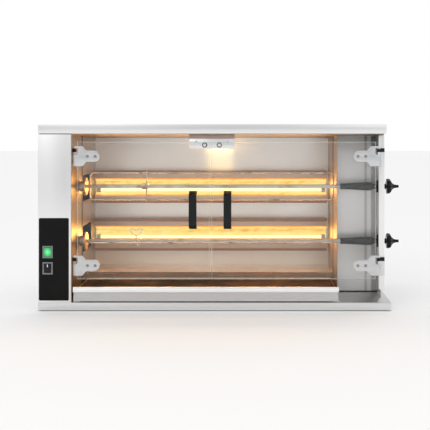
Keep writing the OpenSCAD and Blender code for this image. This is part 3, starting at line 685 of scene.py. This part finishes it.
def marks(node):
    """A light upright stroke on the upper half of a rocker."""
    low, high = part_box(node)
    middle = (low + high) / 2

    def mask(place):
        stroke = along(place, "X").near(middle.x, 0.0014) * 3.0
        return (stroke * along(place, "Z").near(middle.z + 0.0075, 0.0045) * 3.0).clamp()
    return mask


def knuckle_only(place):
    """The hinge brackets' knuckles, left dark; the rest is plated."""
    height = along(place, "Z")
    bands = None
    for low, high in solids_of("left_hinge_plates"):
        middle = (low.z + high.z) / 2
        band = height.near(middle + 0.017, 0.006) * 4.0
        bands = band if bands is None else bands + band
    return bands.clamp()


finishes = {
    "casing_steel": brushed_steel("casing_steel", (0.80, 0.80, 0.80), "X", 0.30),
    "cavity_steel": brushed_steel("cavity_steel", (0.83, 0.82, 0.79), "Z", 0.36, (0.74, 0.60, 0.48), 0.35, 1.0),
    "tray_steel": brushed_steel("tray_steel", (0.95, 0.95, 0.95), "X", 0.26, zones=[
        (shaded_front_under_lip, (0.68, 0.68, 0.68)), (lip_fold_shade, (0.36, 0.36, 0.36)), (tray_inside, (0.42, 0.33, 0.25))]),
    "hinge_zinc": brushed_steel("hinge_zinc", (0.62, 0.63, 0.64), "Y", 0.34),
    "zinc": metal("zinc", (0.62, 0.63, 0.64), 0.3),
    "spit_steel": metal("spit_steel", (0.56, 0.52, 0.47), 0.34, (0.30, 0.17, 0.08), 0.5, 34.0),
    "drive_steel": metal("drive_steel", (0.36, 0.34, 0.32), 0.38, (0.12, 0.07, 0.04), 0.5, 50.0),
    "bronze": metal("bronze", (0.50, 0.32, 0.13), 0.35),
    "hinge_dark": brushed_steel("hinge_dark", (0.70, 0.71, 0.72), "Z", 0.36, zones=[
        (knuckle_only, (0.03, 0.03, 0.033))]),
    "motor_grey": metal("motor_grey", (0.05, 0.052, 0.055), 0.6, (0.02, 0.02, 0.02), 0.3, 30.0, 0.2),
    "panel_black": plastic("panel_black", (0.006, 0.006, 0.006), 0.42, 700.0, 0.05, gloss=0.12),
    "switch_grey": plastic("switch_grey", (0.20, 0.21, 0.22), 0.4),
    "black_plastic": plastic("black_plastic", (0.010, 0.010, 0.011), 0.26, coat=0.1, gloss=0.2,
                             mark=marks("black_rocker")),
    "handle_black": plastic("handle_black", (0.006, 0.009, 0.009), 0.34, coat=0.05, gloss=0.22),
    "knob_black": plastic("knob_black", (0.003, 0.003, 0.004), 0.16, coat=0.0, gloss=0.18),
    "grip_grey": plastic("grip_grey", (0.034, 0.034, 0.036), 0.46, gloss=0.2),
    "foot_rubber": plastic("foot_rubber", (0.02, 0.02, 0.02), 0.75, 500.0, 0.3),
    "green_lens": lit_green(),
    "ceramic": ceramic(),
    "reflector_gold": glow_reflector(heater_rows),
    "heater_quartz": glowing("heater_quartz", (1.0, 0.80, 0.36), (1.0, 0.94, 0.56), 1.1),
    "lamp_glass": glowing("lamp_glass", (1.0, 0.88, 0.42), (1.0, 0.95, 0.60), 1.3),
    "grate_brown": seasoned_iron(),
}
upright = brushed_steel("upright_steel", (0.86, 0.86, 0.86), "Z", 0.33)
wall_tone, wall_stain = (0.44, 0.34, 0.26), (0.24, 0.13, 0.07)
special = {
    "base_plate": brushed_steel("base_steel", (0.76, 0.76, 0.76), "X", 0.30, zones=[
        (deck_top, (0.42, 0.42, 0.42))]),
    "cabinet_front": upright,
    "cabinet_side": brushed_steel("cabinet_side", (0.86, 0.86, 0.86), "Z", 0.33, zones=[
        (cabinet_dark, (0.02, 0.02, 0.02))]),
    "rear_panel": brushed_steel("rear_steel", (0.72, 0.72, 0.72), "Z", 0.42, zones=[
        (rear_unlit_shade, (0.02, 0.02, 0.02))]),
    "upper_coupling": brushed_steel("coupling", (0.66, 0.63, 0.60), "X", 0.3, zones=[
        (disc_glow, (0.86, 0.46, 0.17))]),
    "right_side_wall": brushed_steel("side_wall", (0.84, 0.84, 0.84), "Z", 0.33, zones=[
        (inner_wall_reflection, (0.34, 0.34, 0.34))]),
    "bay_back_panel": brushed_steel("bay_steel", (0.76, 0.76, 0.76), "Z", 0.46, zones=[
        (bay_reflections_and_shade, (0.16, 0.16, 0.16)), (bay_seam, (0.2, 0.2, 0.2))]),
    "catch_magnets": brushed_steel("magnets", (0.80, 0.80, 0.80), "X", 0.3, zones=[
        (magnet_ring, (0.04, 0.04, 0.04))]),
    "cavity_left_wall": brushed_steel("left_wall", wall_tone, "Z", 0.36, wall_stain, 0.6, 1.0, [
        (left_seam, (0.02, 0.02, 0.02))]),
    "cavity_right_wall": brushed_steel("right_wall", wall_tone, "Z", 0.5, wall_stain, 0.6, 1.0, [
        (right_seam, (0.03, 0.02, 0.02))]),
    "roof_liner": brushed_steel("liner", (0.42, 0.33, 0.27), "X", 0.34, (0.30, 0.18, 0.11), 0.5, 1.0),
    "rear_ledge": brushed_steel("ledge", (1.0, 0.78, 0.58), "X", 0.26, (0.9, 0.62, 0.42), 0.4, 1.0),
    "upper_wire_frame": metal("frame_wire", (0.80, 0.62, 0.46), 0.2, (0.20, 0.08, 0.03), 0.8, 34.0),
}
special["lower_coupling"] = special["upper_coupling"]
for node in ("lower_wire_frame", "upper_fork", "lower_fork"):
    special[node] = special["upper_wire_frame"]


def finish_of(node):
    if node in special:
        return special[node]
    if slot_of[node] == "door_glass":
        return glass_of[node]
    return finishes[slot_of[node]]


def pane_glass(node):
    """Clear tempered glass: wipe marks in its gloss, and polished edges that catch the light."""
    material, shader, place = new_finish(node)
    low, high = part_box(node)
    wipes = place.noise(2.4, 4.0, (1.0, 1.0, 3.0))
    smudge = ((wipes - 0.52) * 4.0).clamp()
    rim = 0.0022
    across, up = along(place, "X"), along(place, "Z")
    edge = across.near(low.x, rim)
    for field, border in ((across, high.x), (up, low.z), (up, high.z)):
        edge = edge.math("MAXIMUM", edge, field.near(border, rim))
    edge = (edge * 3.0).clamp()
    feed(shader, Base_Color=edge.blend((0.93, 0.97, 0.95), (0.80, 0.88, 0.84)), IOR=1.45,
         Roughness=0.03 + smudge * 0.05, Alpha=0.03 + smudge * 0.02 + edge * 0.2)
    return material


glass_of = {node: pane_glass(node) for node in ("left_glass", "right_glass")}
for node, holder in nodes.items():
    holder.data.materials.clear()
    holder.data.materials.append(finish_of(node))


# ---- Pieces whose edges are broken --------------------------------------------------------

ROUNDED = 1.2        # mm: wider edges get a third segment
EDGES = {            # mm across each broken edge
    "base_plate": 0.5, "roof_panel": 0.6, "cabinet_front": 0.4, "control_panel": 0.7, "switch_housings": 0.7,
    "right_side_wall": 0.4, "catch_bracket": 0.4, "catch_magnets": 0.6, "hinge_brackets": 0.3,
    "left_hinge_plates": 0.6, "right_hinge_plates": 0.6, "upper_coupling": 0.8, "lower_coupling": 0.8,
    "drip_tray": 0.5, "green_rocker": 0.8, "black_rocker": 0.8, "pin_guides": 0.8, "feet": 1.5,
    "gear_motor": 2.0, "cable_gland": 1.0, "left_glass": 0.7, "right_glass": 0.7, "left_handle": 2.2,
    "right_handle": 2.2, "upper_spit_bar": 0.7, "lower_spit_bar": 0.7, "lamp_holder": 0.6, "tube_holders": 0.8,
    "upper_fork": 0.6, "lower_fork": 0.6, "upper_sprocket": 0.4, "lower_sprocket": 0.4, "shaft_bearings": 0.6,
    "upper_support_pin": 0.5, "lower_support_pin": 0.5,
}
for node, width in EDGES.items():
    softened(node, body_of[node], finish_of(node), width,
             3 if width > ROUNDED else 2)


# ---- Spits --------------------------------------------------------------------------------

def bent_frame(node, bar_node):
    """The spit's long wire frame: two halves with bent corners, welded to the bar."""
    bend, weld = 0.011, 0.0004
    low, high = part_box(node)
    bar_low, bar_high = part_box(bar_node)
    axis = (bar_low + bar_high) / 2
    upright = high.z - low.z > high.y - low.y
    out = Vector((0, 0, 1)) if upright else Vector((0, 1, 0))
    wire = min(high.z - low.z, high.y - low.y) / 2
    reach = max(high.z - low.z, high.y - low.y) / 2 - wire
    bar_half = (bar_high.z - bar_low.z) / 2
    left = Vector((low.x + wire, axis.y, axis.z))
    right = Vector((high.x - wire, axis.y, axis.z))
    halves = []
    for side in (-1, 1):
        root = out * side * (bar_half - weld)
        rim = out * side * reach
        halves.append(rounded_path([left + root, left + rim, right + rim, right + root], bend))
    piece = wire_mesh(node + "_bent", halves, wire, finish_of(node))
    return stand_for(piece, node, body_of[node])


def turned_grip(node):
    """The spit's handle: a tapered grip with a shoulder at each end."""
    low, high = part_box(node)
    start = Vector((low.x, (low.y + high.y) / 2, (low.z + high.z) / 2))
    length = high.x - low.x
    thick = (high.z - low.z) / 2
    outline = [(0.0, 0.40), (0.0, 0.66), (0.012, 0.72), (0.09, 0.73), (0.10, 0.69), (0.12, 0.72), (0.35, 0.81),
               (0.6, 0.93), (0.76, 0.99), (0.86, 1.0), (0.93, 0.95), (0.975, 0.8), (1.0, 0.6), (1.0, 0.34)]
    profile = [(share * length, radius * thick, 0.0) for share, radius in outline]
    piece = revolved(node + "_turned", start, profile, finishes["grip_grey"])
    return stand_for(piece, node, body_of[node])


def lobed_knob(node):
    """The pull knob: a lobed skirt that draws in to a slim nub."""
    low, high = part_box(node)
    start = Vector((low.x, (low.y + high.y) / 2, (low.z + high.z) / 2))
    length = high.x - low.x
    skirt = (high.z - low.z) / 2
    outline = [(0.0, 0.30, 0), (0.0, 0.66, 0.2), (0.012, 0.90, 0.7), (0.04, 0.975, 1), (0.09, 1.0, 1),
               (0.22, 1.0, 1), (0.29, 0.96, 1), (0.34, 0.86, 0.9), (0.39, 0.70, 0.6), (0.45, 0.53, 0.3),
               (0.53, 0.37, 0.1), (0.62, 0.27, 0), (0.72, 0.215, 0), (0.84, 0.19, 0), (0.94, 0.195, 0),
               (0.985, 0.165, 0), (1.0, 0.10, 0)]
    profile = [(share * length, radius * skirt, lobe) for share, radius, lobe in outline]
    piece = revolved(node + "_lobed", start, profile, finishes["knob_black"], lobes=7, depth=0.13, sides=84)
    return stand_for(piece, node, body_of[node])


for level in ("upper", "lower"):
    bent_frame(level + "_wire_frame", level + "_spit_bar")
    turned_grip(level + "_spit_handle")
    lobed_knob(level + "_pull_knob")


# ---- Vent screen --------------------------------------------------------------------------

def vent_screen():
    """A shallow dark pan inside the rear panel's vents, its rim turned toward the panel."""
    depth, wall = 0.006, 0.001
    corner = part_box("rear_panel")[0]
    low = corner + Vector((0.008, -depth, 0.228))
    high = corner + Vector((0.080, 0.0, 0.340))
    shape = bmesh.new()
    bmesh.ops.create_cube(shape, size=1.0)
    for vertex in shape.verts:
        vertex.co = (low + high) / 2 + Vector(vertex.co[i] * (high[i] - low[i]) for i in range(3))
    rear = [face for face in shape.faces if face.calc_center_median().y > high.y - wall / 100]
    bmesh.ops.inset_region(shape, faces=rear, thickness=wall)
    for vertex in {vertex for face in rear for vertex in face.verts}:
        vertex.co.y = low.y + wall
    piece = from_bmesh("vent_screen", shape, finishes["motor_grey"])
    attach(piece, "casing")


vent_screen()


# ---- Grate --------------------------------------------------------------------------------

def rod_grate():
    """Rods across the tray, closer than the plain bars, over ties and four legs."""
    low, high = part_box("drip_grate")
    rod, leg = 0.0015, 0.003
    pitch, tie_pitch = 0.0068, 0.0125
    inset = 0.06
    count = int((high.y - low.y - 2 * rod) / pitch)
    ties = int((high.x - low.x) / tie_pitch)
    middle = (low + high) / 2
    finish = finishes["grate_brown"]
    across = grow("grate_rods", rows, finish, 60.0, count=count, radius=rod, length=high.x - low.x,
                  first=(middle.x, low.y + rod, high.z - rod), step=(0.0, pitch, 0.0),
                  turn=(0.0, QUARTER_TURN, 0.0))
    under = grow("grate_ties", rows, finish, 60.0, count=ties, radius=rod * 0.8, length=high.y - low.y,
                 first=(low.x + 0.004, middle.y, high.z - 2.6 * rod), step=(tie_pitch, 0.0, 0.0),
                 turn=(QUARTER_TURN, 0.0, 0.0))
    legs = grow("grate_legs", rows, finish, 60.0, count=4, radius=leg, length=high.z - low.z - 2 * rod,
                first=(low.x + inset, low.y + 0.004, middle.z - rod),
                step=((high.x - low.x - 2 * inset) / 3, 0.0, 0.0), turn=(0.0, 0.0, 0.0))
    stand_for(across, "drip_grate", body_of["drip_grate"])
    for piece in (under, legs):
        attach(piece, body_of["drip_grate"])


rod_grate()


# ---- Screws -------------------------------------------------------------------------------

FACING_BACK, FACING_FRONT = (-QUARTER_TURN, 0.0, 0.0), (QUARTER_TURN, 0.0, 0.0)


def casing_heads():
    """Cross-head screws on the rear panel, and the two that hold the catch bracket."""
    behind, before = [], []
    middle_y = (cad_bounds[0].y + cad_bounds[1].y) / 2
    for low, high in solids_of("casing_screws"):
        spot = (low + high) / 2
        if spot.y > middle_y:
            behind.append(Vector((spot.x, low.y, spot.z)))
        else:
            before.append(Vector((spot.x, high.y, spot.z)))
    rear = screws("rear_screws", behind, 0.004, 0.0012, FACING_BACK, finishes["zinc"])
    catch = screws("catch_screws", before, 0.003, 0.0014, FACING_FRONT, finishes["zinc"])
    stand_for(rear, "casing_screws", "casing")
    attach(catch, "casing")


def door_heads(node):
    """Hexagon-socket heads on the clamp plates, and the handle's screws behind the glass."""
    side = node.split("_")[0]
    clamp_face, clamp_back = (corner.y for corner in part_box(side + "_hinge_plates"))
    glass_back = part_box(side + "_glass")[1].y
    clamps, grips = [], []
    for low, high in solids_of(node):
        spot = (low + high) / 2
        if high.y > clamp_back + 0.0002:
            grips.append(Vector((spot.x, glass_back, spot.z)))
        else:
            clamps.append(Vector((spot.x, clamp_face, spot.z)))
    front = screws(side + "_clamp_heads", clamps, 0.0042, 0.0022, FACING_FRONT,
                   finishes["drive_steel"], True)
    back = screws(side + "_grip_heads", grips, 0.006, 0.0025, FACING_BACK, finishes["zinc"], True)
    stand_for(front, node, body_of[node])
    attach(back, body_of[node])


casing_heads()
for node in ("left_door_screws", "right_door_screws"):
    door_heads(node)


# ---- Stage, lights and camera -------------------------------------------------------------

def pale_floor():
    """The matt white surface that the oven stands on."""
    mesh = bpy.data.meshes.new("floor")
    reach = 14.0
    corners = [(-reach, -reach, 0), (reach, -reach, 0), (reach, reach, 0), (-reach, reach, 0)]
    mesh.from_pydata(corners, [], [(0, 1, 2, 3)])
    material, shader, place = new_finish("floor")
    cloud = place.noise(0.7, 2.0)
    feed(shader, Base_Color=cloud.blend((0.93, 0.93, 0.93), (0.95, 0.95, 0.95)), Roughness=0.9,
         Specular_IOR_Level=0.1)
    floor = bpy.data.objects.new("floor", mesh)
    mesh.materials.append(material)
    bpy.context.scene.collection.objects.link(floor)


def soft_world():
    """A white studio, darker behind the camera and low down, with two soft bright bands."""
    world = bpy.data.worlds.new("studio")
    bpy.context.scene.world = world
    world.use_nodes = True
    tree = world.node_tree
    coords = tree.nodes.new("ShaderNodeTexCoord")
    way = Field(tree, coords.outputs["Generated"])
    depth, across, up = along(way, "Y"), along(way, "X"), along(way, "Z")
    ahead = (depth * 3.0 + 0.9).clamp()
    bands = across.near(-0.42, 0.34) * 0.34 + across.near(0.30, 0.22) * 0.20
    behind = 0.52 + bands + (up * 0.5).clamp()
    level = ahead + (1.0 - ahead) * behind
    tree.links.new(level.socket, tree.nodes["Background"].inputs["Strength"])
    tree.nodes["Background"].inputs["Color"].default_value = (1.0, 1.0, 1.0, 1.0)


def area_light(name, place, target, width, height, power, tint=(1.0, 1.0, 1.0)):
    """A soft rectangular light aimed at the target, itself out of view."""
    lamp = bpy.data.lights.new(name, "AREA")
    lamp.shape = "RECTANGLE"
    lamp.size, lamp.size_y = width, height
    lamp.energy = power
    lamp.color = tint
    holder = bpy.data.objects.new(name, lamp)
    holder.location = place
    holder.rotation_euler = (Vector(target) - Vector(place)).to_track_quat("-Z", "Z").to_euler()
    holder.visible_camera = False
    bpy.context.scene.collection.objects.link(holder)


def studio():
    """The room's soft light, and the light that the heaters and the oven's lamp give."""
    soft_world()
    area_light("key", (-1.6, -2.6, 2.4), (0.0, 0.0, 0.25), 2.0, 1.6, power=8.0)
    area_light("fill", (2.2, -2.4, 1.4), (0.1, 0.0, 0.25), 1.8, 1.8, power=4.0)
    spit_y = centre_of("upper_spit_bar").y
    refl_x = refl_low.x / 2 + refl_high.x / 2
    for place, (middle, half, _) in enumerate(heater_rows):
        area_light("heat_%d" % place, (refl_x, refl_low.y - 0.004, middle), (refl_x, spit_y, middle),
                   refl_high.x - refl_low.x - 0.04, half, power=0.8, tint=(1.0, 0.52, 0.16))
    bulb_low, bulb_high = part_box("lamp_glass")
    under = Vector(((bulb_low.x + bulb_high.x) / 2, (bulb_low.y + bulb_high.y) / 2, bulb_low.z - 0.004))
    area_light("oven_lamp", under, under + Vector((0.0, 0.10, -0.04)), 0.07, 0.03, power=0.010,
               tint=(1.0, 0.76, 0.28))
    wash = under - Vector((0.0, 0.01, 0.03))
    area_light("lamp_wash", wash, wash + Vector((0.0, 0.1, 0.0)), 0.085, 0.10, power=0.016,
               tint=(1.0, 0.74, 0.28))


def camera():
    """Level camera, a little above the roof and right of the middle, framed low by its shift."""
    base_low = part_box("base_plate")[0]
    lens = bpy.data.cameras.new("camera")
    lens.sensor_width = 36.0
    lens.lens = 71.16
    lens.shift_x = -0.0814
    lens.shift_y = -0.212
    lens.clip_end = 60.0
    holder = bpy.data.objects.new("camera", lens)
    holder.location = (base_low.x + 0.600, base_low.y - 2.405, base_low.z + 0.528)
    holder.rotation_euler = (QUARTER_TURN, 0.0, 0.0)
    bpy.context.scene.collection.objects.link(holder)
    bpy.context.scene.camera = holder


pale_floor()
studio()
camera()
bpy.context.scene.view_settings.view_transform = "Standard"
